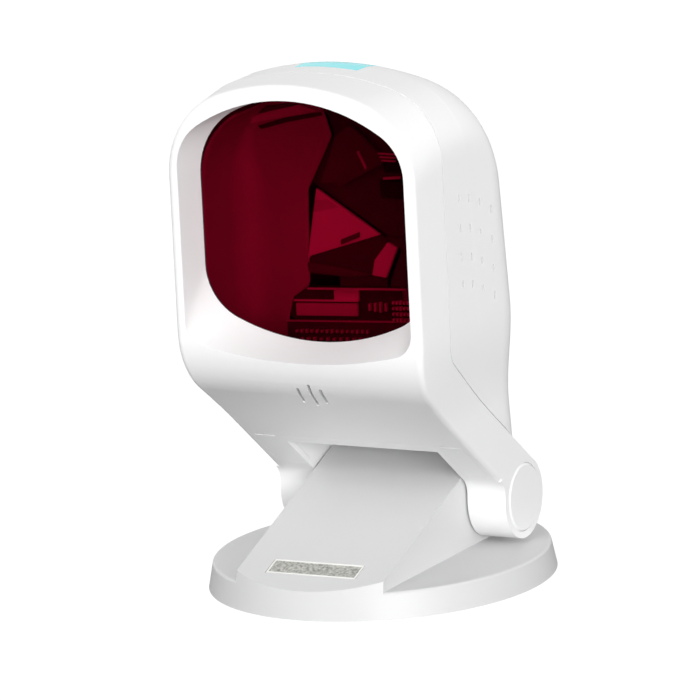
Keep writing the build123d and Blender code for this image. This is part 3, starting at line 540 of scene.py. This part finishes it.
def add_tower(looks):
    """The dark frame on the right, with its facet, rib and pin, and the guard before the mirror wheel."""
    tower = ((-9, 138.5), (0, 141), (18, 135), (18.5, MOTOR_TOP), (9.5, MOTOR_TOP), FOLD_TIP, FOLD_TOP,
             (-15.5, 117), (-12, 123), (-7, 131))
    plate("engine_tower", tower, looks["dark"], depth=1.2, thick=3.0, soften=0.3,
          nodes=("pattern_mirror_upper_right", "optical_chassis", "chassis_screws"))
    guard = ((11.5, GUARD_FOOT), (11.7, LOWER_FOOT[1]), (15.7, LOWER_TOP[1]), (10.2, FOLD_TIP[1]),
             (GUARD_RIGHT, FOLD_TIP[1]), (GUARD_RIGHT, GUARD_FOOT))
    plate("motor_guard", guard, looks["dark"], depth=-3.6, thick=1.0)
    facet = ((-6, 131), (-1, 134.5), (1, 133.5), (9.5, 125.5), (9, 124.5), (-5.5, 117.5), (-11.5, 117),
             (-8.5, 124))
    plate("tower_facet", facet, looks["mid"], depth=-0.4, thick=1.4, soften=0.3)
    rib = ((-5.5, 117.5), (9, 125), (9.5, 124), (-5, 116.5))
    plate("tower_rib", rib, looks["mid"], depth=-1.4, thick=1.0)
    pin = ((1.5, 127), (2, 127.5), (4.5, 122.5), (4, 122))
    plate("tower_pin", pin, looks["pale"], depth=-1.5, thick=0.8, soften=THIN_EDGE)


def add_tower_slots(looks):
    """The gaps in the tower's right side, as near-black plates of painted shade, and the bright edges beside
    them.
    """
    end, high = 13.5, 0.4
    for index in range(3):
        start = 8.0 + 0.5 * index
        top = 127.0 - index
        edge = ((start, top), (end, top), (end, top - high), (start, top - high))
        plate("tower_bar_%d" % index, edge, looks["bright"], depth=-1.0, thick=0.8,
              soften=THIN_EDGE)
    # Near-black plates put where the tower shows only shade: painted shade.
    for name, left, top, bottom in (("tower_slot_painted_shade", 7.5, 119.0, 113.5), ("tower_gap_painted_shade", 9.0, 124.5, 121.0)):
        shade_outline = ((left, top), (17, top), (17, bottom), (left, bottom))
        plate(name, shade_outline, looks["painted_shade"], depth=0.4, thick=0.9)
    edge = ((9.5, 120), (15, 120.5), (15, 119.8), (9.5, 119.3))
    plate("tower_bar_long", edge, looks["pale"], depth=-1.2, thick=0.8, soften=THIN_EDGE)


def add_shelf(looks):
    """The motor shelf's edge, and the low post that stands on it under the folding mirrors."""
    bar("engine_post", (-7.0, 8.5), (-3.0, 0.3), looks["dark"], depth=0.4, thick=2.0,
        nodes=("laser_holder", "laser_module"))
    bar("shelf_edge", (-16.0, ENGINE_RIGHT), (0.0, 0.5), looks["pale"], depth=-3.0,
        thick=0.8, soften=THIN_EDGE)


def add_receiver(looks):
    """The receiver housing under the shelf, with its window, filter and rail."""
    housing = (level(-22.5, 3.2), level(-17, 0.5), level(ENGINE_RIGHT, 0.5), level(ENGINE_RIGHT, 10.7),
               level(-22, 10.7), level(-24, 8.0))
    plate("receiver_housing", housing, looks["dark"], depth=0.2, thick=3.0, soften=0.3,
          nodes=("receiver_board",))
    bar("receiver_window", (-8.5, -0.5), (0.8, 4.3), looks["bright"], depth=-0.9, thick=1.0,
        nodes=("photodiode",))
    bar("receiver_filter", (-21.0, -1.0), (5.0, 8.7), looks["pale"], depth=-1.0, thick=1.1)
    bar("receiver_rail", (-21.5, -0.5), (3.9, 4.4), looks["bright"], depth=-1.3, thick=0.8,
        soften=THIN_EDGE)


def add_board(looks):
    """The board at the foot of the engine, its rail, and the rows of small parts on it and above it."""
    sides = (BOARD_LEFT, ENGINE_RIGHT)
    bar("engine_floor", sides, (BOARD_DOWN, 19.0), looks["mid"], depth=-0.4, thick=0.8)
    bar("floor_rail", sides, (BOARD_DOWN, BOARD_DOWN + 0.4), looks["pale"], depth=-1.0,
        thick=0.7, soften=THIN_EDGE)
    row_of_parts("row_upper", (-21.0, 2.0), looks["pale"], down=13.2, count=15, width=0.7, high=1.1)
    row_of_parts("row_lower", (-19.5, 6.0), looks["pale"], down=15.5, count=13, width=0.9, high=1.0)
    row_of_parts("stand_off", (3.2, 8.4), looks["pale"], down=5.9, count=4, width=0.7, high=3.0)
    for index in range(4):
        row_of_parts("grid_%d" % index, (10.8, 15.6), looks["bright"], down=4.5 + 1.7 * index, count=5,
                     width=0.6, high=1.1)


def add_engine():
    """The scan engine as it is seen through the window."""
    looks = engine_looks()
    add_collector(looks["sheet"])
    add_engine_back(looks)
    add_window_band(looks)
    add_folding_mirrors(looks)
    add_tower(looks)
    add_tower_slots(looks)
    add_shelf(looks)
    add_receiver(looks)
    add_board(looks)


def add_badge_frame():
    """A raised bright rim round the blank plate on the foot's sloping face."""
    shape = bmesh.new()
    rings = []
    for inset in (0.0, RIM_WIDTH):
        x = (RIM_LENGTH / 2 - inset) * MM
        y = (RIM_HIGH / 2 - inset) * MM
        for height in (-RIM_SUNK, RIM_LIFT):
            corners = ((-x, -y), (x, -y), (x, y), (-x, y))
            rings.append([shape.verts.new((*corner, height * MM)) for corner in corners])
    outer_low, outer_top, inner_low, inner_top = rings
    around = (outer_low, outer_top, inner_top, inner_low, outer_low)
    for first, second in zip(around, around[1:]):
        for here in range(len(first)):
            after = (here + 1) % len(first)
            shape.faces.new((first[here], first[after], second[after], second[here]))
    bmesh.ops.recalc_face_normals(shape, faces=shape.faces)
    bmesh.ops.bevel(shape, geom=shape.edges[:], offset=RIM_EDGE * MM, segments=2, affect="EDGES")
    turn = Matrix.Rotation(math.radians(WEDGE_SLOPE), 4, "X")
    shape.transform(Matrix.Translation(Vector(BADGE_CENTRE) * MM) @ turn)
    mesh = mesh_from(shape, "badge_frame")
    rim = bpy.data.objects.new("badge_frame", mesh)
    bpy.context.scene.collection.objects.link(rim)
    bright = surface("badge_rim", (0.86, 0.86, 0.84), roughness=0.3, variation=0.04, grain=0.1)
    mesh.materials.append(bright)
    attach(rim, "stand")


add_camera()
add_light()
add_floor()
bpy.context.scene.view_settings.view_transform = "Standard"

dress_frame()
add_engine()
add_badge_frame()
